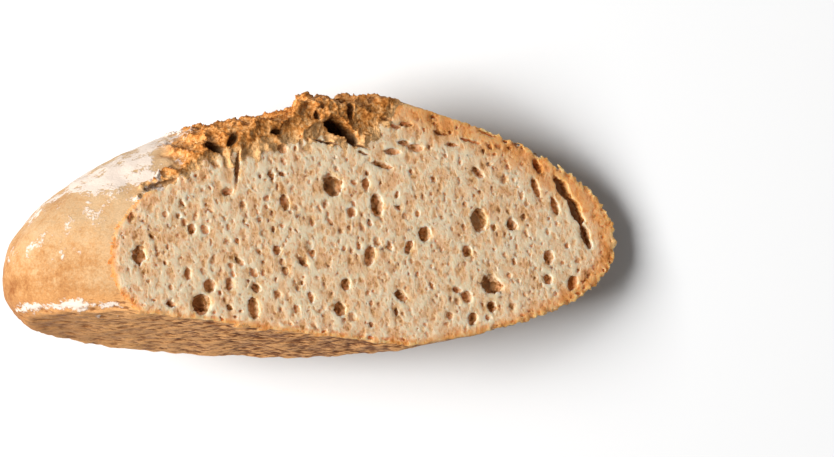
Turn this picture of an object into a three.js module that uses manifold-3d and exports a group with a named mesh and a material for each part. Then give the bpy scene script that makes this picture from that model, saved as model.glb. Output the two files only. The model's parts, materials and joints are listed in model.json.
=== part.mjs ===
// Part of a hearth-baked bread loaf, cut at a slant. The left nose of the loaf is whole; from there the
// knife ran back through the crumb to the rear flank near the right nose. The piece is one baked solid,
// and it lies on its rear flank with the cut face up, as a cut loaf is laid down on a table.
//
// It is shaped in the loaf's own frame, as it stood in the oven, in millimetres: x runs from the left nose
// to the right one, y from the front flank to the rear one, and z up from the underside. A group at the
// end rolls it over onto its rear flank, with its box centred on the origin and its lowest point at z = 0.
import * as THREE from "three";
import { mergeVertices } from "three/addons/utils/BufferGeometryUtils.js";
import Module from "manifold-3d";

// ---- the whole loaf, before it was cut ----
const LENGTH = 293; // nose to nose
const FULLEST_X = 125; // the fullest section, from the left nose
const WIDTH = 136;
const HEIGHT = 98; // from the underside to the crown
const AXIS_Y = 59; // the middle line, behind the cut's reference line y = 0
const NOSE_BEND = 25; // how far the left nose bends to the front
const NOSE_BEND_LENGTH = 100;
const LEFT_NOSE_Z = 22; // the tips' heights above the underside
const RIGHT_NOSE_Z = 60;
const FRONT_BULGE_Z = 27; // where each flank stands out furthest
const REAR_BULGE_Z = 46;
const KEEL_Z = -9; // lowest level of the round dough, which the oven floor pressed flat at z = 0
const KEEL_LIFT = 23; // how far the right end curls up off the oven floor
const KEEL_LIFT_FROM_X = 88;
const KEEL_LIFT_TO_X = 248;

// Exponents of the superellipses that the loaf's outlines follow: 2 is an ellipse, more is squarer.
const PLAN_POWER = 2.46;
const CROWN_POWER = 1.68;
const KEEL_POWER = 3.8;
const BULGE_POWER = 1.5;
const FRONT_SHOULDER_POWER = 1.65;
const REAR_SHOULDER_POWER = 2.4;
const FRONT_FOOT_POWER = 3.4;
const REAR_FOOT_POWER = 1.9;

// ---- the score along the crown, where the crust tore open in the oven ----
const SCORE_X = 98; // middle of the torn hollow in front of the ear
const SCORE_LENGTH = 96;
const SCORE_Y = 46;
const SCORE_WIDTH = 54;
const SCORE_DEPTH = 6;
const EAR_X = 134; // middle of the lip that the tear lifted
const EAR_LENGTH = 62;
const EAR_Y = 66;
const EAR_WIDTH = 30;
const EAR_RISE = 5;

// ---- the cut, and how the piece lies ----
const CUT_START_X = 44; // where the knife entered the front flank
const CUT_START_Y = -8.5;
const CUT_ANGLE = THREE.MathUtils.degToRad(32.6); // between the knife and the loaf's length
const ROLL = THREE.MathUtils.degToRad(102); // from standing on its underside to lying on its rear flank
const ROCK = THREE.MathUtils.degToRad(2.6); // how far the right end lies higher
const REST_DEPTH = 2; // how much of the rear flank is pressed flat where it lies

const RINGS = 48;
const AROUND = 80;

// The share of full size left at a share x of the way out to the tip, on a superellipse.
const taper = (x, power) => Math.max(0, 1 - Math.abs(x) ** power) ** (1 / power);
const bent = (value, power) => Math.sign(value) * Math.abs(value) ** (2 / power);

// A smooth mound, 1 in the middle and 0 from the rim of its ellipse outwards.
function mound(x, y, middleX, middleY, length, width) {
  const out = Math.hypot((x - middleX) / (length / 2), (y - middleY) / (width / 2));
  return 1 - THREE.MathUtils.smoothstep(out, 0, 1);
}

// Moves a point of the unit sphere, whose poles are the two noses, to the loaf's skin.
function toLoaf(point) {
  const along = bent(point.x, PLAN_POWER);
  const left = along < 0;
  const x = FULLEST_X + along * (left ? FULLEST_X : LENGTH - FULLEST_X);
  const noseZ = left ? LEFT_NOSE_Z : RIGHT_NOSE_Z;
  const level = (fullZ, power) => noseZ + (fullZ - noseZ) * taper(along, power);

  const halfWidth = (WIDTH / 2) * taper(along, PLAN_POWER);
  const bend = Math.max(0, 1 - x / NOSE_BEND_LENGTH);
  const axisY = AXIS_Y - NOSE_BEND * bend * bend;
  const lift = KEEL_LIFT * THREE.MathUtils.smoothstep(x, KEEL_LIFT_FROM_X, KEEL_LIFT_TO_X);
  const crownZ = level(HEIGHT, CROWN_POWER);
  const keelZ = level(KEEL_Z + lift, KEEL_POWER);

  const ring = Math.hypot(point.y, point.z) || 1;
  const rear = point.y >= 0;
  const up = point.z >= 0;
  const bulgeZ = level(rear ? REAR_BULGE_Z : FRONT_BULGE_Z, BULGE_POWER);
  const shoulder = rear ? REAR_SHOULDER_POWER : FRONT_SHOULDER_POWER;
  const foot = rear ? REAR_FOOT_POWER : FRONT_FOOT_POWER;
  const power = up ? shoulder : foot;
  const y = axisY + halfWidth * bent(point.y / ring, power);
  let z = bulgeZ + (up ? crownZ - bulgeZ : bulgeZ - keelZ) * bent(point.z / ring, power);
  if (up) {
    z += EAR_RISE * mound(x, y, EAR_X, EAR_Y, EAR_LENGTH, EAR_WIDTH);
    z -= SCORE_DEPTH * mound(x, y, SCORE_X, SCORE_Y, SCORE_LENGTH, SCORE_WIDTH);
  }
  return point.set(x, y, z);
}

function loafSkin() {
  const skin = new THREE.SphereGeometry(1, AROUND, RINGS).rotateZ(Math.PI / 2);
  const places = skin.getAttribute("position");
  const point = new THREE.Vector3();
  for (let i = 0; i < places.count; i++) {
    toLoaf(point.fromBufferAttribute(places, i));
    places.setXYZ(i, point.x, point.y, point.z);
  }
  return skin;
}

// ---- solids ----
const wasm = await Module();
wasm.setup();

function solidFrom(geometry) {
  const bare = geometry.clone();
  bare.deleteAttribute("normal");
  bare.deleteAttribute("uv");
  const merged = mergeVertices(bare, 1e-3);
  return new wasm.Manifold(
    new wasm.Mesh({
      numProp: 3,
      vertProperties: merged.getAttribute("position").array,
      triVerts: new Uint32Array(merged.index.array),
    }),
  );
}

function geometryFrom(solid) {
  const { numProp, numVert, vertProperties, triVerts } = solid.getMesh();
  const places = new Float32Array(numVert * 3);
  for (let i = 0; i < numVert; i++)
    places.set(vertProperties.subarray(i * numProp, i * numProp + 3), i * 3);
  const geometry = new THREE.BufferGeometry();
  geometry.setAttribute("position", new THREE.BufferAttribute(places, 3));
  geometry.setIndex(new THREE.BufferAttribute(new Uint32Array(triVerts), 1));
  geometry.computeVertexNormals();
  return geometry;
}

// The oven floor and the knife each leave a flat face.
const block = 4 * LENGTH;
const ovenFloor = new THREE.BoxGeometry(block, block, block).translate(0, 0, -block / 2);
const cutAway = new THREE.BoxGeometry(block, block, block).translate(0, -block / 2, 0);
cutAway.rotateZ(CUT_ANGLE).translate(CUT_START_X, CUT_START_Y, 0);
const standing = solidFrom(loafSkin()).subtract(solidFrom(ovenFloor)).subtract(solidFrom(cutAway));

// ---- lying on its rear flank, pressed flat where it rests ----
const lying = geometryFrom(standing).rotateX(-ROLL).rotateY(-ROCK);
lying.computeBoundingBox();
const lowest = lying.boundingBox.min.z + REST_DEPTH;
const table = new THREE.BoxGeometry(block, block, block).translate(0, 0, lowest - block / 2);
const resting = geometryFrom(solidFrom(lying).subtract(solidFrom(table)));
resting.computeBoundingBox();
const { min, max } = resting.boundingBox;

const crust = new THREE.MeshStandardMaterial({ color: 0xd9a566, roughness: 0.9, metalness: 0 });
const loaf = new THREE.Mesh(resting, crust);
loaf.name = "loaf";
loaf.position.set(-(min.x + max.x) / 2, -(min.y + max.y) / 2, -min.z);

const object = new THREE.Group();
object.add(loaf);
export default object;
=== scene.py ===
import json
import math
import random

import bpy
import numpy as np
from mathutils import Matrix, Vector, noise as field
from mathutils.kdtree import KDTree

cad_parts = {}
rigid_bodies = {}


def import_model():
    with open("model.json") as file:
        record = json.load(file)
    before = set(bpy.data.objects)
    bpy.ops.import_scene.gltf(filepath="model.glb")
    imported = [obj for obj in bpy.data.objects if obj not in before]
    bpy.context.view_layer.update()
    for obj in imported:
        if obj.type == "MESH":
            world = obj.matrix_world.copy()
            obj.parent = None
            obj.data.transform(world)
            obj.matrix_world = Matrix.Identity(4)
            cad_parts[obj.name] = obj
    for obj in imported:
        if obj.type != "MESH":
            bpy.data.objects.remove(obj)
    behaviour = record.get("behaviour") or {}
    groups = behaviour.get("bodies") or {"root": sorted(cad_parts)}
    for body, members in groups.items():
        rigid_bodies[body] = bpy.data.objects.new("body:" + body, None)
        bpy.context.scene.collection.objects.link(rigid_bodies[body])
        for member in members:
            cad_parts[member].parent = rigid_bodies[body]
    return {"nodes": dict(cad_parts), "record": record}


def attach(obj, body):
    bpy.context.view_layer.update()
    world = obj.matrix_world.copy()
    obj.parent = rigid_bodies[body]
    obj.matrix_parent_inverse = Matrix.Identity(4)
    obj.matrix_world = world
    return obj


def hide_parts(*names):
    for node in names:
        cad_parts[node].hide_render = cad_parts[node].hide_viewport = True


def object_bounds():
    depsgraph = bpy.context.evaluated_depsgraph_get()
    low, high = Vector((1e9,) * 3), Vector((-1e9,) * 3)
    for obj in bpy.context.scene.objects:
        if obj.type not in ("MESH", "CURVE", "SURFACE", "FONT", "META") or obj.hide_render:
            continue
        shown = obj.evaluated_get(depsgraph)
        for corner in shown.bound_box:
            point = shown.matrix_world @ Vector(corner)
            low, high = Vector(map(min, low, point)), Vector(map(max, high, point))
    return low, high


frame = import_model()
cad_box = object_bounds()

# Loading leaves the CAD nodes selected.
for thing in bpy.data.objects:
    thing.select_set(False)


# -------------------------------------------------------------------------------------------------
# The camera hangs 1.46 m above the floor, as over a table, and looks straight down through a long lens,
# turned by a degree.
MM = 0.001
CAMERA_ABOVE = (38.6 * MM, 0.2 * MM)
CAMERA_HEIGHT = 1.46
CAMERA_ROLL = math.radians(1.0)
CAMERA_LENS = 152.2
CAMERA_NEAREST = 0.05

bpy.ops.object.camera_add(
    location=(*CAMERA_ABOVE, CAMERA_HEIGHT), rotation=(0, 0, CAMERA_ROLL)
)
camera = bpy.context.object
camera.data.lens = CAMERA_LENS
camera.data.clip_start = CAMERA_NEAREST
bpy.context.scene.camera = camera
camera.select_set(False)


# -------------------------------------------------------------------------------------------------
# The loaf was baked on its flat underside, and one stroke of a knife took the front of it away. Its two
# flat faces are known from the record, and they give the directions in which the loaf is described:
# along its length, up from the underside and back from the front flank.
mounts = {mount["name"]: mount for mount in frame["record"]["mounts"]}
cut_point = Vector(mounts["cut_side"]["pos_m"])
cut_normal = Vector(mounts["cut_side"]["axis"]).normalized()
underside_point = Vector(mounts["underside"]["pos_m"])
upwards = -Vector(mounts["underside"]["axis"]).normalized()
lengthways = upwards.cross(Vector((0, 0, 1))).normalized()
backwards = lengthways.cross(upwards) * -1


def measured(points, origin, direction):
    """How far each of many points lies from origin along direction, in mm."""
    return (points - np.array(origin)) @ np.array(direction) / MM


def vertex_places(mesh):
    places = np.empty(len(mesh.vertices) * 3)
    mesh.vertices.foreach_get("co", places)
    return places.reshape(-1, 3)


def fade(values, start, end):
    """0 before start, 1 after end, and a smooth rise between them."""
    share = np.clip((values - start) / (end - start), 0, 1)
    return share * share * (3 - 2 * share)


def make_only(piece):
    for other in bpy.context.selected_objects:
        other.select_set(False)
    piece.select_set(True)
    bpy.context.view_layer.objects.active = piece


def finish_modifier(piece, kind, **settings):
    """Adds a modifier with these settings and applies it."""
    make_only(piece)
    modifier = piece.modifiers.new(kind.lower(), kind)
    for name, value in settings.items():
        setattr(modifier, name, value)
    bpy.ops.object.modifier_apply(modifier=modifier.name)


WEIGHT_STEPS = 40


def weigh(piece, name, weights):
    """Stores a weight for each vertex as a vertex group, in even steps, for modifiers to follow."""
    group = piece.vertex_groups.get(name) or piece.vertex_groups.new(name=name)
    steps = np.round(np.clip(weights, 0, 1) * WEIGHT_STEPS).astype(int)
    for step in range(1, WEIGHT_STEPS + 1):
        chosen = np.flatnonzero(steps == step)
        if len(chosen):
            group.add(chosen.tolist(), step / WEIGHT_STEPS, "REPLACE")


def texture(kind, **settings):
    made = bpy.data.textures.new(kind.lower(), kind)
    for name, value in settings.items():
        setattr(made, name, value)
    return made


# A copy of the CAD loaf gets an even skin, fine enough for crags and lumps.
DOUGH_VOXEL = 0.8 * MM
SAME_POINT = 0.001 * MM
dough = frame["nodes"]["loaf"].copy()
dough.data = dough.data.copy()
dough.name = dough.data.name = "bread"
dough.parent = None
bpy.context.scene.collection.objects.link(dough)
dough.data.materials.clear()
make_only(dough)
bpy.ops.object.mode_set(mode="EDIT")
bpy.ops.mesh.select_all(action="SELECT")
bpy.ops.mesh.remove_doubles(threshold=SAME_POINT)
bpy.ops.object.mode_set(mode="OBJECT")
finish_modifier(dough, "REMESH", mode="VOXEL", voxel_size=DOUGH_VOXEL)


def zones(places):
    """Where each point is on the loaf: along, up and back in mm, and how far above the cut it is."""
    along = measured(places, (cad_box[0][0], 0, 0), lengthways)
    up = measured(places, underside_point, upwards)
    back = measured(places, (0, 0, cad_box[1][2]), backwards)
    above_cut = measured(places, cut_point, cut_normal)
    return along, up, back, above_cut


def nearest_among(chosen):
    """A tree that finds the nearest of the chosen points."""
    tree = KDTree(len(chosen))
    for index, place in enumerate(chosen):
        tree.insert(place, index)
    tree.balance()
    return tree


# The crust is all the skin that lies this far or more below the cut, in mm.
CRUST_BELOW_CUT = 0.9
DEEPEST_OPENED = 8
FAR_FROM_CRUST = 50.0
places = vertex_places(dough.data)
nearest_crust = nearest_among(places[zones(places)[3] < -CRUST_BELOW_CUT])


def crust_distance(places, above_cut):
    """How far each point of the opened crumb is from the crust, in mm, and 50 elsewhere."""
    distance = np.full(len(places), FAR_FROM_CRUST)
    for index in np.flatnonzero(above_cut > -DEEPEST_OPENED):
        distance[index] = nearest_crust.find(places[index])[2] / MM
    return distance


# -------------------------------------------------------------------------------------------------
# The baker scored the top, and the oven tore it open there: a band of craggy, well baked crust, with an
# ear of thick lumps where the flap stood up. The knife went through its near edge.
TORN_CRAG = 9 * MM
TORN_CRAG_DEPTH = 3.2 * MM
TORN_FLAKE = 2.8 * MM
TORN_FLAKE_DEPTH = 1.9 * MM
cut_across = (Vector((1, 0, 0)) - cut_normal * cut_normal.x).normalized()
cut_upwards = cut_normal.cross(cut_across)
cut_turn = Matrix((cut_across, cut_upwards, cut_normal)).transposed().to_4x4()


def on_the_cut(x, y, below=0.0):
    """The point on the cut face above (x, y), in mm, moved into the crumb by below."""
    point = Vector((x * MM, y * MM, 0))
    rise = (cut_point - point).dot(cut_normal) / cut_normal.z
    return point + Vector((0, 0, rise)) - cut_normal * below * MM


def ball_form(name, subdivisions, ragged, size):
    """A ball of diameter 1 with an uneven skin, from which lumps and holes are copied."""
    bpy.ops.mesh.primitive_ico_sphere_add(subdivisions=subdivisions, radius=0.5)
    form = bpy.context.object
    form.name = name
    uneven = texture("CLOUDS", noise_scale=size, noise_depth=1)
    finish_modifier(
        form, "DISPLACE", texture=uneven, texture_coords="LOCAL", strength=ragged, mid_level=0.5
    )
    return form


def copy_ball(form, x, y, size, turn, below):
    """A copy of a ball form at the cut, with its three diameters in mm, turned in the cut's plane."""
    ball = form.copy()
    ball.data = form.data.copy()
    spot = Matrix.Translation(on_the_cut(x, y, below)) @ cut_turn
    scaled = Matrix.Diagonal((*(side * MM for side in size), 1))
    ball.data.transform(spot @ Matrix.Rotation(turn, 4, "Z") @ scaled)
    bpy.context.scene.collection.objects.link(ball)
    return ball


def joined(pieces):
    """Joins pieces into the first one."""
    make_only(pieces[0])
    for piece in pieces:
        piece.select_set(True)
    bpy.ops.object.join()
    return pieces[0]


# The knife left the torn crust standing above this line on the cut, as x and y in mm.
TORN_EDGE_X = (-58, -50, -44, -38, -30, -16, -5, 3, 12, 20, 26, 32)
TORN_EDGE_Y = (14, 18, 23, 25, 26, 31, 33.5, 34, 32, 34, 41, 52)
TORN_EDGE_RAG = 6.5
TORN_EDGE_GRAIN = 240

# Further back, where the score starts and ends: along the loaf, up and back, in mm.
SCORE_STARTS = (56, 68)
SCORE_ENDS = (138, 162)
SCORE_UP = (50, 62)
SCORE_BACK = (66, 78)


def torn_share(places):
    """How far the crust is torn open at each point, from 0 on sound crust to 1 in the score."""
    along, up, back, above_cut = zones(places)
    wavering = along + 3.5 * np.sin(back / 4.3) + 2.5 * np.sin(back / 1.9 + 1)
    lengthwise = fade(wavering, *SCORE_STARTS) * (1 - fade(wavering, *SCORE_ENDS))
    across = fade(up, *SCORE_UP) * (1 - fade(back, *SCORE_BACK))
    edge = np.interp(places[:, 0] / MM, TORN_EDGE_X, TORN_EDGE_Y)
    above_edge = places[:, 1] / MM - edge
    for index in np.flatnonzero((above_cut > -5) & (np.abs(above_edge) < 6)):
        above_edge[index] += TORN_EDGE_RAG * field.noise(Vector(places[index]) * TORN_EDGE_GRAIN)
    return np.where(above_cut < -4, lengthwise * across, fade(above_edge, -2.2, 1.4))


# x, y and the diameter in mm of the lumps of the ear, in its left and right clump.
EAR_LUMPS = (
    (-5.5, 44.0, 10), (-1.5, 47.0, 10), (3.5, 46.5, 10), (7.0, 44.5, 8), (-8.5, 42.0, 7),
    (14.5, 45.0, 9), (19.0, 47.5, 10), (23.0, 43.5, 7),
    (-20.0, 39.0, 8), (-14.0, 40.0, 6), (-27.0, 37.5, 7), (-36.0, 34.5, 6), (-44.0, 31.0, 6),
)
LUMP_LENGTH = 2.2
LUMP_SUNK = 1.05
lump_form = ball_form("ear_lump", 4, 0.5, 0.3)
lumps = []
for x, y, across in EAR_LUMPS:
    sizes = (across, across, across * LUMP_LENGTH)
    lumps.append(copy_ball(lump_form, x, y, sizes, 0.4 * x, across * LUMP_SUNK))
joined([dough, *lumps])
finish_modifier(dough, "REMESH", mode="VOXEL", voxel_size=DOUGH_VOXEL)

places = vertex_places(dough.data)
along, up, back, above_cut = zones(places)
on_cut = fade(above_cut, -0.9, -0.5)
torn = torn_share(places)
weigh(dough, "torn", torn * (1 - 0.5 * on_cut) * (1 - 0.9 * fade(along, 140, 154)))
crags = texture("MUSGRAVE", musgrave_type="RIDGED_MULTIFRACTAL", noise_scale=TORN_CRAG, octaves=3)
finish_modifier(
    dough, "DISPLACE", texture=crags, texture_coords="LOCAL", strength=TORN_CRAG_DEPTH, mid_level=0.6,
    vertex_group="torn",
)
flakes = texture("CLOUDS", noise_scale=TORN_FLAKE, noise_depth=2, noise_type="HARD_NOISE")
finish_modifier(
    dough, "DISPLACE", texture=flakes, texture_coords="LOCAL", strength=TORN_FLAKE_DEPTH, mid_level=0.5,
    vertex_group="torn",
)

# The far end is blistered; the rest of the crust is smooth with faint swellings.
BLISTERED_ALONG = (150, 215)
BLISTERED_UP = (4, 12)
BLISTER = 2.8 * MM
BLISTER_RISE = 1.5 * MM
SWELLING = 14 * MM
SWELLING_RISE = 2.2 * MM
CRUST_VOXEL = 0.5 * MM
places = vertex_places(dough.data)
along, up, back, above_cut = zones(places)
sound = (1 - fade(above_cut, -1.2, -0.6)) * (1 - torn_share(places))
near_rim = np.where(above_cut > -1.2, 1 - fade(crust_distance(places, above_cut), 1.5, 3), 1)
weigh(dough, "blistered", near_rim * fade(along, *BLISTERED_ALONG) * fade(up, *BLISTERED_UP))
weigh(dough, "sound", sound)
blisters = texture("MUSGRAVE", musgrave_type="RIDGED_MULTIFRACTAL", noise_scale=BLISTER, octaves=2)
finish_modifier(
    dough, "DISPLACE", texture=blisters, texture_coords="LOCAL", strength=BLISTER_RISE, mid_level=0.6,
    vertex_group="blistered",
)
swellings = texture("CLOUDS", noise_scale=SWELLING, noise_depth=2)
finish_modifier(
    dough, "DISPLACE", texture=swellings, texture_coords="LOCAL", strength=SWELLING_RISE, mid_level=0.5,
    vertex_group="sound",
)
finish_modifier(dough, "REMESH", mode="VOXEL", voxel_size=CRUST_VOXEL)

# The torn crust is crumbly all over.
TORN_CRUMB = 1.3 * MM
TORN_CRUMB_DEPTH = 0.9 * MM
places = vertex_places(dough.data)
weigh(dough, "torn", torn_share(places))
crumbs = texture("CLOUDS", noise_scale=TORN_CRUMB, noise_depth=1, noise_type="HARD_NOISE")
finish_modifier(
    dough, "DISPLACE", texture=crumbs, texture_coords="LOCAL", strength=TORN_CRUMB_DEPTH, mid_level=0.4,
    vertex_group="torn",
)

# The underside carries the print of the cloth that the loaf rose on: rows of short dents.
PRINTED_UP = (1, 6)
DENT = 1.7 * MM
DENT_LENGTH = 3.2
DENT_DEPTH = 1.2 * MM
along, up, back, above_cut = zones(places)
weigh(dough, "printed", 1 - fade(up, *PRINTED_UP))
bpy.ops.object.empty_add()
print_grain = bpy.context.object
print_grain.scale = (DENT_LENGTH, 1, 1)
bpy.context.view_layer.update()
dents = texture("CLOUDS", noise_scale=DENT, noise_depth=0)
finish_modifier(
    dough, "DISPLACE", texture=dents, texture_coords="OBJECT", texture_coords_object=print_grain,
    strength=DENT_DEPTH, mid_level=0.55, vertex_group="printed",
)
bpy.data.objects.remove(print_grain)


# -------------------------------------------------------------------------------------------------
# The knife opened the crumb. Its holes are bubbles in the dough: a few large ones, many of a few
# millimetres, and a foam of small ones. Near the crust they are squeezed flat and lie along it.
CRUMB_SEED = 7
round_form = ball_form("round_bubble", 3, 0.14, 0.5)
ragged_form = ball_form("ragged_bubble", 4, 0.34, 0.3)
small_form = ball_form("small_bubble", 2, 0.25, 0.4)

# x, y, width and height in mm and the turn in degrees of the holes that stand out, by form.
ROUND_HOLES = (
    (-42.8, -30.0, 7.6, 7.6, 0), (63.4, 4.0, 7.2, 9.0, 8), (13, 6.2, 3.9, 3.9, 0),
    (22.7, 9.2, 5.5, 8.7, 10), (18.2, 17.4, 3.5, 4.3, 0), (62.7, 23.3, 6.0, 3.4, -35),
    (-40, -23, 5, 5, 0), (-23.5, -31.4, 4.6, 8.4, 15), (-12.8, 9.6, 3.9, 6.2, 20),
    (41.8, -1.9, 5.2, 6.3, -20), (20.3, -10.9, 4.7, 7.9, -10), (35.6, -7.2, 3.2, 6.3, -25),
    (58.7, -8.4, 4.4, 4.4, 0), (59, -26.7, 4.8, 4.8, 0), (9.2, -31.7, 5.1, 5.5, 0),
    (11.3, -22, 3.9, 4.7, 0), (69.1, -30.6, 4.4, 4.4, 0), (61.5, -35.4, 4, 5.2, -15),
    (92.2, -10.4, 4.5, 6.1, 0), (102.3, -20.8, 4.5, 6.5, -25), (87, 26.4, 3.6, 6.2, 38),
    (86.5, 17.6, 3.2, 8.1, 26), (94.5, 10.4, 3.7, 7.3, 25), (92, -19.3, 4, 4, 0),
    (-47.3, -1.5, 3.4, 4.2, 0), (-48.3, -18.6, 2.7, 4.6, 10), (-32.7, -22.3, 3.1, 5, 0),
    (33, 34, 6, 2.2, 0), (37.5, 32.3, 7, 3.4, 0), (28.5, 30.5, 7, 2.6, 5), (33.5, 41.6, 6, 2, 0),
    (26, 43.3, 5, 1.6, 0), (29.5, 40.4, 4.5, 1.8, 0), (59.3, 35.8, 9, 1.5, -4),
    (73.5, 36.3, 2.6, 1.8, -20), (79.3, 34.4, 5, 2.2, -30), (85.6, 32.6, 8, 2.4, -35),
    (94, 27.4, 9, 2, -42), (47.5, 38.5, 6.5, 1.8, -8), (66, 39, 7, 1.6, -12), (52, 34, 5, 1.8, 4),
)
RAGGED_HOLES = (
    (5.4, 16.3, 7.8, 8.8, 20), (76.8, 2.3, 4.8, 5.0, 0), (-66.3, -11.7, 5.3, 6.8, -25),
    (69, -21.9, 9.6, 7.2, 0), (32.8, -26.5, 5.5, 3.9, -15), (-22.9, -23.8, 3.8, 3.8, 0),
    (-54.1, -30, 3.8, 2.7, 0), (24.3, 25.1, 8.7, 2.4, -6), (54.9, -24, 3.6, 2.8, 0),
    (-5.4, -13.6, 4.7, 3.5, -30), (-34.4, 13, 4.6, 3.1, 25), (-18.4, 20, 3.1, 3.1, 0),
    (-14, 20.5, 3, 2.4, 0),
)
# The hollows under the ear, in the torn band and along the far crust, each with its depth at the end.
DEEP_HOLLOWS = (
    (97.6, 17.6, 5.5, 12, 36, 11), (103.0, 9.0, 5.5, 15, 30, 14), (107.4, -1.5, 4.4, 13, 22, 11),
    (7.5, 39.2, 14, 7.5, -14, 26), (12.6, 35.2, 6.0, 6.5, -30, 16), (2.5, 33.4, 12, 1.5, -3, 6),
    (14.5, 32.6, 9, 1.5, -6, 6), (16.8, 29.6, 5, 1.8, -8, 5), (11.5, 46.5, 3.6, 9, 0, 14),
    (-39.5, 30.4, 9, 4.6, -8, 14), (-33, 33.5, 3.6, 9, -40, 10), (-16.4, 37.0, 6.5, 2.8, 15, 10),
    (-31.2, 22.0, 2.4, 13, -4, 5), (-60, 15.0, 16, 2.8, 24, 8), (-1.0, 44.0, 3.2, 4.2, 0, 8),
)

# A bubble that the knife opened is wider than its mouth on the cut, and its middle lies just inside.
MOUTH_TO_BUBBLE = 1.12
BUBBLE_SUNK = 0.08
chance = random.Random(CRUMB_SEED)
bubbles = []
taken = []
for form, holes in ((round_form, ROUND_HOLES), (ragged_form, RAGGED_HOLES)):
    for x, y, width, height, turn in holes:
        deep = 0.9 * min(width, height) + 1.5
        sizes = (MOUTH_TO_BUBBLE * width, MOUTH_TO_BUBBLE * height, deep)
        bubbles.append(copy_ball(form, x, y, sizes, math.radians(turn), BUBBLE_SUNK * deep))
        taken.append((x, y, max(width, height) / 2))
for x, y, width, height, turn, deep in DEEP_HOLLOWS:
    bubbles.append(copy_ball(ragged_form, x, y, (width, height, deep), math.radians(turn), 0))
    taken.append((x, y, max(width, height) / 2))

places = vertex_places(dough.data)
above_cut = zones(places)[3]
nearest_on_cut = nearest_among(places[np.abs(above_cut) < 0.35])
CUT_FROM = (-80, -48)
CUT_TO = (118, 50)
OFF_THE_CUT = 1.2 * MM
TRIES_FOR_EACH = 30
MOSTLY_SMALL = 2.2
UNSQUEEZED_FROM_CRUST = 12


def scatter_bubbles(form, count, smallest, largest, spacing):
    """Scatters holes over the cut, away from those already there, and squeezed near the crust."""
    made = 0
    for _ in range(count * TRIES_FOR_EACH):
        if made == count:
            break
        x, y = chance.uniform(CUT_FROM[0], CUT_TO[0]), chance.uniform(CUT_FROM[1], CUT_TO[1])
        spot = on_the_cut(x, y)
        size = smallest + (largest - smallest) * chance.random() ** MOSTLY_SMALL
        if nearest_on_cut.find(spot)[2] > OFF_THE_CUT:
            continue
        near, _, distance = nearest_crust.find(spot)
        outwards = near - spot
        distance /= MM
        if distance < 0.8 + size * 0.35:
            continue
        if any(math.hypot(x - a, y - b) < c + size / 2 + spacing for a, b, c in taken):
            continue
        squeeze = 1 - 0.45 * max(0, 1 - distance / 9)
        turn = math.atan2(outwards.dot(cut_upwards), outwards.dot(cut_across)) + chance.gauss(0, 0.35)
        if distance > UNSQUEEZED_FROM_CRUST:
            turn = chance.gauss(0.3, 0.5)
            squeeze = chance.uniform(0.65, 1)
        deep = size * chance.uniform(0.35, 0.75)
        sizes = (size * squeeze, size / squeeze ** 0.5, deep)
        bubbles.append(copy_ball(form, x, y, sizes, turn, chance.uniform(-0.35, 0.25) * deep))
        taken.append((x, y, size / 2))
        made += 1


scatter_bubbles(round_form, 170, 2.0, 4.4, 0)
scatter_bubbles(ragged_form, 180, 1.6, 3.6, -0.1)
scatter_bubbles(small_form, 700, 0.9, 2.2, -0.3)

FOAM_VOXEL = 0.35 * MM
WALL_RAG = 1.2 * MM
WALL_RAG_DEPTH = 0.9 * MM
foam = joined(bubbles)
foam.name = "foam"
finish_modifier(foam, "REMESH", mode="VOXEL", voxel_size=FOAM_VOXEL)
walls = texture("CLOUDS", noise_scale=WALL_RAG, noise_depth=1)
finish_modifier(
    foam, "DISPLACE", texture=walls, texture_coords="LOCAL", strength=WALL_RAG_DEPTH, mid_level=0.5
)
finish_modifier(dough, "BOOLEAN", object=foam, operation="DIFFERENCE", solver="MANIFOLD")
for leftover in (foam, round_form, ragged_form, small_form, lump_form):
    bpy.data.objects.remove(leftover)

# Between the holes the crumb is a sponge of fine cells, longer than they are wide.
CELL_TURN = math.radians(18)
CELL_LENGTH = 1.7
CELL = 3.4 * MM
CELL_DEPTH = 0.4 * MM
SPONGE = 1.1 * MM
SPONGE_DEPTH = 0.35 * MM
bpy.ops.object.empty_add(rotation=(0, 0, CELL_TURN))
cell_grain = bpy.context.object
cell_grain.scale = (1, CELL_LENGTH, 1)
bpy.context.view_layer.update()
places = vertex_places(dough.data)
above_cut = zones(places)[3]
rim = crust_distance(places, above_cut)
opened = fade(above_cut, -7, -1.5) * (1 - torn_share(places)) * fade(rim, 0.3, 1.2)
weigh(dough, "opened", opened)
cells = texture("VORONOI", noise_scale=CELL, distance_metric="DISTANCE")
finish_modifier(
    dough, "DISPLACE", texture=cells, texture_coords="OBJECT", texture_coords_object=cell_grain,
    strength=CELL_DEPTH, mid_level=0.45, vertex_group="opened",
)
sponge = texture("CLOUDS", noise_scale=SPONGE, noise_depth=1)
finish_modifier(
    dough, "DISPLACE", texture=sponge, texture_coords="LOCAL", strength=SPONGE_DEPTH, mid_level=0.5,
    vertex_group="opened",
)
bpy.data.objects.remove(cell_grain)

# The finished skin is thinned to what one piece may have, with a little to spare.
MOST_TRIANGLES = 196000
finish_modifier(dough, "TRIANGULATE")
finish_modifier(dough, "DECIMATE", ratio=min(1, MOST_TRIANGLES / len(dough.data.polygons)))
make_only(dough)
bpy.ops.object.shade_smooth()


# -------------------------------------------------------------------------------------------------
# What the finishes follow is stored on the mesh: where the crust is torn, baked dark or floured, how deep
# a point of the crumb lies, how near it is to the crust, and where the surface is hollow.
places = vertex_places(dough.data)
along, up, back, above_cut = zones(places)

# The weights have done their work, and what is stored may then bear the same names.
dough.vertex_groups.clear()


def store(name, values):
    made = dough.data.attributes.new(name, "FLOAT", "POINT")
    made.data.foreach_set("value", np.asarray(values, dtype=np.float32))


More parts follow.
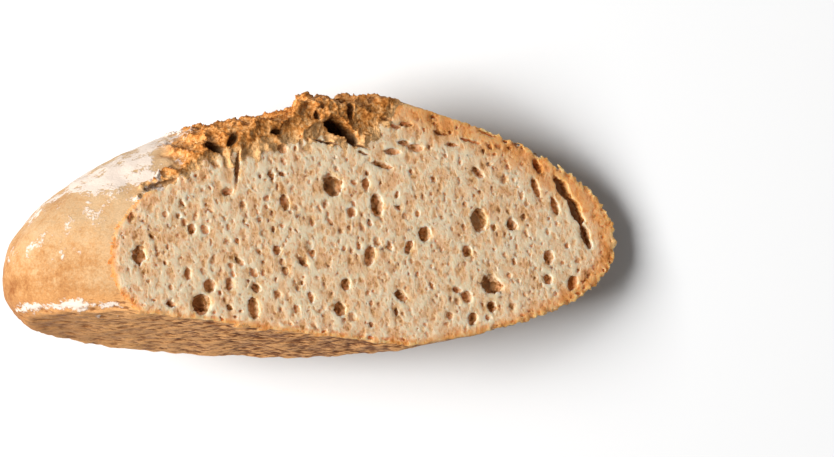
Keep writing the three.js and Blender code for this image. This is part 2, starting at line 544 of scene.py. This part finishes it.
def inside_hollows(places, above_cut):
    """How far each point lies inside a deep hollow, from 0 at its mouth to 1 further in."""
    inside = np.zeros(len(places))
    for x, y, width, height, turn, deep in DEEP_HOLLOWS:
        offset = (places - np.array(on_the_cut(x, y))) / MM
        flat = Matrix.Rotation(-math.radians(turn), 2) @ Matrix((cut_across, cut_upwards))
        across, upwards_too = np.array(flat) @ offset.T
        reach = np.hypot(2 * across / width, 2 * upwards_too / height)
        share = (1 - fade(reach, 0.9, 1.4)) * fade(-above_cut, 0.4, 0.25 * deep)
        inside = np.maximum(inside, share * min(1, 0.2 + deep / 24))
    return inside


def hollows(rounds):
    """How far each vertex lies below the mean of the surface around it, in mm."""
    mesh = dough.data
    ends = np.empty(len(mesh.edges) * 2, dtype=np.int32)
    mesh.edges.foreach_get("vertices", ends)
    first, second = ends.reshape(-1, 2).T
    starts = np.concatenate((first, second))
    others = np.concatenate((second, first))
    count = np.maximum(np.bincount(starts, minlength=len(places)), 1)
    smooth = places.copy()
    for _ in range(rounds):
        for axis in range(3):
            smooth[:, axis] = np.bincount(starts, smooth[others, axis], len(places)) / count
    normals = np.empty(len(places) * 3)
    mesh.vertices.foreach_get("normal", normals)
    return ((smooth - places) * normals.reshape(-1, 3)).sum(axis=1) / MM


rim = crust_distance(places, above_cut)
torn = torn_share(places)
crumb = fade(above_cut, -6, -1.2) * fade(rim, 0.25, 0.8) * (1 - torn)
edge = np.interp(places[:, 0] / MM, TORN_EDGE_X, TORN_EDGE_Y)
store("torn", torn)
store("inside_tear", np.where(above_cut < -6, 1, fade(places[:, 1] / MM - edge, -1, 8)))
store("depth", -above_cut)
# How far a point lies inside a deep hollow, which the finishes paint dark as painted shade.
store("painted_cave_shade", inside_hollows(places, above_cut))
store("hollow", hollows(6))
store("wide_hollow", hollows(40))
store("underside", 1 - fade(up, 3, 9))
store("above_base", up)
store("along", along)
# The crumb is toasted beside the crust, widest at the end of the loaf and along the top.
toasted = 3.2 + 5.0 * fade(along, 195, 226) + 2.0 * fade(along, 120, 180)
toasted += 2.5 * fade(up, 60, 80) + 9.0 * fade(along, 130, 150) * fade(up, 48, 66)
store("toasted", 1 - fade(rim, 0.2 * toasted, toasted))
# Flour lies on the crown of the near end, and in a line along the edge of the underside.
dusted = 0.54 * fade(up, 5, 25) + 0.46 * fade(up, 28, 60)
dusted *= (1 - fade(along, 56, 80)) * (1 - 0.6 * fade(back, 60, 90))
dusted_line = (1 - np.clip(np.abs(up - 2.5) / 3.5, 0, 1)) * (1 - fade(along, 60, 75))
store("floured", np.maximum(dusted, 1.1 * dusted_line * (1 - fade(back, 25, 40))))

# The crumb's faces are those that the knife or a bubble opened.
corners = np.empty(len(dough.data.polygons) * 3, dtype=np.int32)
dough.data.polygons.foreach_get("vertices", corners)
in_crumb = crumb[corners.reshape(-1, 3)].mean(axis=1) > 0.5


def put(tree, kind, inputs=None, **settings):
    """Adds a shader node, with values or links for its inputs."""
    made = tree.nodes.new("ShaderNode" + kind)
    for name, value in settings.items():
        setattr(made, name, value)
    for name, value in (inputs or {}).items():
        if isinstance(value, bpy.types.NodeSocket):
            tree.links.new(value, made.inputs[name])
        else:
            made.inputs[name].default_value = value
    return made


def rgb(red, green, blue):
    """A colour as it is seen on screen, 0 to 255, in the linear values that shaders take."""
    channels = []
    for level in (red, green, blue):
        level /= 255
        channels.append(level / 12.92 if level < 0.04045 else ((level + 0.055) / 1.055) ** 2.4)
    return (*channels, 1)


def stored(tree, name):
    return put(tree, "Attribute", attribute_name=name).outputs["Fac"]


def reckon(tree, operation, first, second=0.0, third=0.0):
    return put(tree, "Math", {0: first, 1: second, 2: third}, operation=operation).outputs[0]


def ramp(tree, value, stops):
    made = put(tree, "ValToRGB", {"Fac": value})
    elements = made.color_ramp.elements
    while len(elements) < len(stops):
        elements.new(0.5)
    for element, (place, color) in zip(elements, stops):
        element.position = place
        element.color = color if isinstance(color, tuple) else (color, color, color, 1)
    return made.outputs["Color"]


def limits(tree, value, start, end):
    """0 at start, 1 at end, clamped between."""
    made = put(tree, "MapRange", {"Value": value, "From Min": start, "From Max": end})
    return made.outputs["Result"]


def mix(tree, share, first, second, kind="MIX"):
    made = put(tree, "Mix", {0: share, 6: first, 7: second}, data_type="RGBA", blend_type=kind)
    return made.outputs[2]


def noise(tree, where, scale, detail=3.0, roughness=0.55, distortion=0.0):
    made = put(tree, "TexNoise", {
        "Vector": where, "Scale": scale, "Detail": detail, "Roughness": roughness,
        "Distortion": distortion,
    })
    return made.outputs["Fac"]


def new_material(name):
    material = bpy.data.materials.new(name)
    material.use_nodes = True
    return material, material.node_tree, material.node_tree.nodes["Principled BSDF"]


def new_group(name, inputs, outputs):
    """A node group with float inputs and outputs, and a vector input called Vector."""
    group = bpy.data.node_groups.new(name, "ShaderNodeTree")
    group.interface.new_socket("Vector", in_out="INPUT", socket_type="NodeSocketVector")
    for label in inputs:
        group.interface.new_socket(label, in_out="INPUT", socket_type="NodeSocketFloat")
    for label in outputs:
        group.interface.new_socket(label, in_out="OUTPUT", socket_type="NodeSocketFloat")
    entry = group.nodes.new("NodeGroupInput").outputs
    leave = group.nodes.new("NodeGroupOutput").inputs
    return group, entry, leave


def place_group(tree, group, inputs):
    made = tree.nodes.new("ShaderNodeGroup")
    made.node_tree = group
    for name, value in inputs.items():
        if isinstance(value, bpy.types.NodeSocket):
            tree.links.new(value, made.inputs[name])
        else:
            made.inputs[name].default_value = value
    return made.outputs


# Dimples of mixed sizes with uneven rims: Hollow is 1 in the middle of each and 0 between them.
dimples, entry, leave = new_group("dimples", ("Scale", "Smallest", "Largest"), ("Hollow",))
wobble = put(dimples, "TexNoise", {"Vector": entry["Vector"], "Scale": 420.0, "Detail": 2.0})
middle = (0.5, 0.5, 0.5)
shift = put(dimples, "VectorMath", {0: wobble.outputs["Color"], 1: middle}, operation="SUBTRACT")
shift = put(dimples, "VectorMath", {0: shift.outputs[0], "Scale": 2.4 * MM}, operation="SCALE")
shifted = put(dimples, "VectorMath", {0: entry["Vector"], 1: shift.outputs[0]}, operation="ADD")
cell = put(dimples, "TexVoronoi", {"Vector": shifted.outputs[0], "Scale": entry["Scale"]})
chance_of_cell = put(dimples, "SeparateColor", {"Color": cell.outputs["Color"]}).outputs[0]
radius = put(dimples, "MapRange", {
    "Value": chance_of_cell, "To Min": entry["Smallest"], "To Max": entry["Largest"],
}).outputs[0]
radius = reckon(dimples, "MAXIMUM", radius, 0.001)
floor_radius = reckon(dimples, "MULTIPLY", radius, 0.3)
hollow = put(dimples, "MapRange", {
    "Value": cell.outputs["Distance"], "From Min": radius, "From Max": floor_radius,
}, interpolation_type="SMOOTHSTEP").outputs[0]
dimples.links.new(hollow, leave["Hollow"])


# -------------------------------------------------------------------------------------------------
# The crust is the outside of the dough, dried and browned in the oven: golden on the flank, browner low
# down, orange and burnt where it tore, printed by the cloth underneath, and dusted with white flour.
crust_finish, tree, surface = new_material("baked_crust")
where = put(tree, "TexCoord").outputs["Object"]
broad = noise(tree, where, 45, 3)
middling = noise(tree, where, 160, 4)
fine = noise(tree, where, 700, 4, 0.6)
grains = noise(tree, where, 1500, 2, 0.6)
along_at = stored(tree, "along")
base_at = stored(tree, "above_base")
hollow = stored(tree, "hollow")
torn_at = stored(tree, "torn")

# Golden on the flank, and browner low down and towards both ends.
low = limits(tree, base_at, 34, 4)
right = limits(tree, along_at, 120, 200)
left = limits(tree, along_at, 45, 4)
baked = reckon(tree, "MULTIPLY_ADD", low, 0.5, 0.12)
baked = reckon(tree, "MULTIPLY_ADD", right, 0.08, baked)
baked = reckon(tree, "MULTIPLY_ADD", left, 0.38, baked)
# Hollows of the crust are darkened and its crests lightened: painted shade and painted light.
baked = reckon(tree, "MULTIPLY_ADD", hollow, 0.3, baked)
baked = reckon(tree, "MULTIPLY_ADD", reckon(tree, "SUBTRACT", broad, 0.5), 0.8, baked)
baked = reckon(tree, "MULTIPLY_ADD", reckon(tree, "SUBTRACT", middling, 0.5), 0.8, baked)
baked = reckon(tree, "MULTIPLY_ADD", reckon(tree, "SUBTRACT", fine, 0.5), 0.9, baked)
sound_color = ramp(tree, baked, (
    (0.0, rgb(194, 160, 120)), (0.3, rgb(190, 148, 102)),
    (0.6, rgb(174, 122, 70)), (1.0, rgb(140, 84, 38)),
))
pits = place_group(tree, dimples, {"Vector": where, "Scale": 75.0, "Smallest": -0.9, "Largest": 0.1})[0]
sound_color = mix(tree, pits, sound_color, rgb(110, 62, 28))

# Torn open: tan beside the crumb, orange further in, and burnt brown on the crags.
torn_value = reckon(tree, "MULTIPLY_ADD", middling, 0.8, 0.08)
torn_value = reckon(tree, "MULTIPLY_ADD", hollow, 0.3, torn_value)
torn_value = reckon(tree, "MULTIPLY_ADD", reckon(tree, "SUBTRACT", fine, 0.5), 1.7, torn_value)
torn_value = reckon(tree, "ADD", torn_value, 0.53)
torn_value = reckon(tree, "MULTIPLY_ADD", stored(tree, "inside_tear"), -0.42, torn_value)
torn_color = ramp(tree, torn_value, (
    (0.05, rgb(98, 46, 6)), (0.35, rgb(164, 96, 32)),
    (0.6, rgb(202, 134, 66)), (0.95, rgb(236, 184, 124)),
))
# Deep gaps in the torn crust are darkened nearly to black: painted shade.
painted_gap_shade = limits(tree, stored(tree, "wide_hollow"), 0.5, 2.0)
painted_cave_shade = reckon(tree, "MAXIMUM", painted_gap_shade, stored(tree, "painted_cave_shade"))
torn_color = mix(tree, reckon(tree, "MULTIPLY", painted_cave_shade, 0.92), torn_color, rgb(44, 16, 2))
color = mix(tree, torn_at, sound_color, torn_color)

# The print of the cloth on the underside is rows of brown and golden marks; its dents are darkened and
# its ridges lightened as painted shade and painted light.
under_at = stored(tree, "underside")
rows = put(tree, "Mapping", {"Vector": where, "Scale": (0.34, 1, 1)}).outputs[0]
threads = noise(tree, rows, 1000, 2)
threads = reckon(tree, "MULTIPLY_ADD", reckon(tree, "SUBTRACT", threads, 0.5), 2.2, 0.55)
# Dents darker and ridges lighter: painted shade and painted light.
under_value = reckon(tree, "MULTIPLY_ADD", hollow, -1.0, threads)
under_value = reckon(tree, "MULTIPLY_ADD", limits(tree, along_at, 120, 20), 0.3, under_value)
under_color = ramp(tree, under_value, (
    (0.15, rgb(88, 46, 16)), (0.5, rgb(142, 88, 46)), (0.85, rgb(214, 156, 98)),
))
printed = reckon(tree, "MULTIPLY", under_at, limits(tree, along_at, -20, 70))
color = mix(tree, printed, color, under_color)
speckle = ramp(tree, grains, ((0.25, 0.82), (0.75, 1.12)))
color = mix(tree, 1.0, color, speckle, "MULTIPLY")

# Flour clings in patches with crumbled edges.
drift = noise(tree, where, 90, 6, 0.68)
dust = reckon(tree, "MULTIPLY_ADD", reckon(tree, "SUBTRACT", drift, 0.5), 3.2, stored(tree, "floured"))
dust = reckon(tree, "MULTIPLY_ADD", reckon(tree, "SUBTRACT", fine, 0.5), 1.0, dust)
dusted = limits(tree, dust, 0.74, 0.98)
color = mix(tree, reckon(tree, "MULTIPLY", dusted, 0.92), color, rgb(222, 206, 192))
tree.links.new(color, surface.inputs["Base Color"])
surface.inputs["Roughness"].default_value = 0.72
surface.inputs["Specular IOR Level"].default_value = 0.2
height = reckon(tree, "MULTIPLY_ADD", fine, reckon(tree, "MULTIPLY_ADD", torn_at, 2.6, 0.9), dusted)
height = reckon(tree, "MULTIPLY_ADD", grains, reckon(tree, "MULTIPLY_ADD", torn_at, 1.2, 0.3), height)
bump = put(tree, "Bump", {"Height": height, "Strength": 0.5, "Distance": 0.4 * MM})
tree.links.new(bump.outputs["Normal"], surface.inputs["Normal"])


# -------------------------------------------------------------------------------------------------
# The crumb is soft baked dough, cream between its holes and toasted beside the crust, with painted shade
# darkening its holes and pores inside. Some light passes through its thin walls.
crumb_finish, tree, surface = new_material("open_crumb")
where = put(tree, "TexCoord").outputs["Object"]
stretched = put(tree, "Mapping", {
    "Vector": where, "Rotation": (0, 0, math.radians(-18)), "Scale": (1, 0.66, 0.8),
}).outputs[0]
middling = noise(tree, where, 150, 4)
fine = noise(tree, where, 900, 4, 0.6)
# Small pores are painted: each is darker in its middle, as painted shade, and the bump below sinks it a
# little.
painted_pore_masks = []
for scale, smallest, largest in ((190.0, 0.3, 0.85), (400.0, 0.25, 0.8), (820.0, 0.2, 0.8)):
    painted_pore_masks.append(place_group(tree, dimples, {
        "Vector": stretched, "Scale": scale, "Smallest": smallest, "Largest": largest,
    })[0])
wide, usual, small = painted_pore_masks
depth = stored(tree, "depth")
hollow = stored(tree, "hollow")
sunk = reckon(tree, "MAXIMUM", hollow, -0.12)
# The deeper and the more hollow a point lies, the darker it is: painted shade; rims are a touch lighter,
# as painted light.
shade = reckon(tree, "MULTIPLY_ADD", limits(tree, depth, 0.2, 3.0), 0.19, 0.0)
shaded = reckon(tree, "MULTIPLY_ADD", sunk, 0.4, 0.06)
shaded = reckon(tree, "MULTIPLY_ADD", depth, 0.035, shaded)
shade = reckon(tree, "ADD", shade, shaded)
shade = reckon(tree, "MULTIPLY_ADD", wide, 0.24, shade)
shade = reckon(tree, "MULTIPLY_ADD", usual, 0.26, shade)
shade = reckon(tree, "MULTIPLY_ADD", small, 0.2, shade)
shade = reckon(tree, "MULTIPLY_ADD", reckon(tree, "SUBTRACT", middling, 0.5), 0.42, shade)
shade = reckon(tree, "MULTIPLY_ADD", reckon(tree, "SUBTRACT", fine, 0.5), 0.6, shade)
crumb_color = ramp(tree, shade, (
    (0.0, rgb(255, 226, 192)), (0.2, rgb(255, 210, 167)), (0.42, rgb(238, 187, 135)),
    (0.7, rgb(188, 132, 76)), (1.0, rgb(134, 84, 30)),
))
uneven = reckon(tree, "SUBTRACT", middling, 0.5)
toast = reckon(tree, "MULTIPLY_ADD", uneven, 1.2, stored(tree, "toasted"))
crumb_color = mix(tree, limits(tree, toast, 0.1, 1.0), crumb_color, rgb(244, 208, 158), "MULTIPLY")
# Inside the deep hollows the crumb is darkened: painted shade.
painted_cave_shade = reckon(tree, "MULTIPLY", stored(tree, "painted_cave_shade"), 0.85)
crumb_color = mix(tree, painted_cave_shade, crumb_color, rgb(104, 56, 18))
tree.links.new(crumb_color, surface.inputs["Base Color"])
surface.inputs["Roughness"].default_value = 0.85
surface.inputs["Specular IOR Level"].default_value = 0.2
surface.inputs["Subsurface Weight"].default_value = 0.8
surface.inputs["Subsurface Radius"].default_value = (1.0, 0.85, 0.7)
surface.inputs["Subsurface Scale"].default_value = 4 * MM
height = reckon(tree, "MULTIPLY_ADD", wide, -1.0, reckon(tree, "MULTIPLY", fine, 0.6))
height = reckon(tree, "MULTIPLY_ADD", usual, -0.8, height)
height = reckon(tree, "MULTIPLY_ADD", small, -0.4, height)
# Light spreads inside the crumb, so its shading follows the cut as a whole more than each small wall.
own_normal = put(tree, "NewGeometry").outputs["Normal"]
whole_normal = put(
    tree, "VectorTransform", {"Vector": tuple(cut_normal)}, vector_type="NORMAL", convert_from="OBJECT",
    convert_to="WORLD",
).outputs[0]
even_normal = put(tree, "Mix", {0: 0.55, 4: own_normal, 5: whole_normal}, data_type="VECTOR").outputs[1]
even_normal = put(tree, "VectorMath", {0: even_normal}, operation="NORMALIZE").outputs[0]
bump = put(tree, "Bump", {
    "Height": height, "Strength": 0.4, "Distance": 0.5 * MM, "Normal": even_normal,
})
tree.links.new(bump.outputs["Normal"], surface.inputs["Normal"])

dough.data.materials.clear()
dough.data.materials.append(crust_finish)
dough.data.materials.append(crumb_finish)
dough.data.polygons.foreach_set("material_index", in_crumb.astype(np.int32))
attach(dough, "root")
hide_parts("loaf")


# -------------------------------------------------------------------------------------------------
# The bread lies on a plain pale floor. A large soft lamp stands 3 m away on its left, about fifty degrees
# up, and faint white light comes from all round.
FLOOR_SIDE = 6
FLOOR_GREY = 0.68
bpy.ops.mesh.primitive_plane_add(size=FLOOR_SIDE, location=(0, 0, 0))
floor = bpy.context.object
floor.name = "floor"
floor_finish, tree, surface = new_material("pale_floor")
surface.inputs["Base Color"].default_value = (FLOOR_GREY, FLOOR_GREY, FLOOR_GREY, 1)
surface.inputs["Roughness"].default_value = 0.9
floor.data.materials.append(floor_finish)

KEY_FROM = Vector((-0.65, 0.0, 0.76))
KEY_DISTANCE = 3.0
KEY_WIDTH = 1.4
KEY_LENGTH = 1.7
KEY_WATTS = 172
bpy.ops.object.light_add(type="AREA", location=KEY_FROM.normalized() * KEY_DISTANCE)
key = bpy.context.object
key.data.shape = "RECTANGLE"
key.data.size = KEY_WIDTH
key.data.size_y = KEY_LENGTH
key.data.energy = KEY_WATTS
key.rotation_euler = KEY_FROM.to_track_quat("Z", "Y").to_euler()

ALL_ROUND_LIGHT = 0.2
world = bpy.data.worlds.new("studio")
world.use_nodes = True
world.node_tree.nodes["Background"].inputs["Color"].default_value = (1, 1, 1, 1)
world.node_tree.nodes["Background"].inputs["Strength"].default_value = ALL_ROUND_LIGHT
bpy.context.scene.world = world
bpy.context.scene.view_settings.view_transform = "Standard"
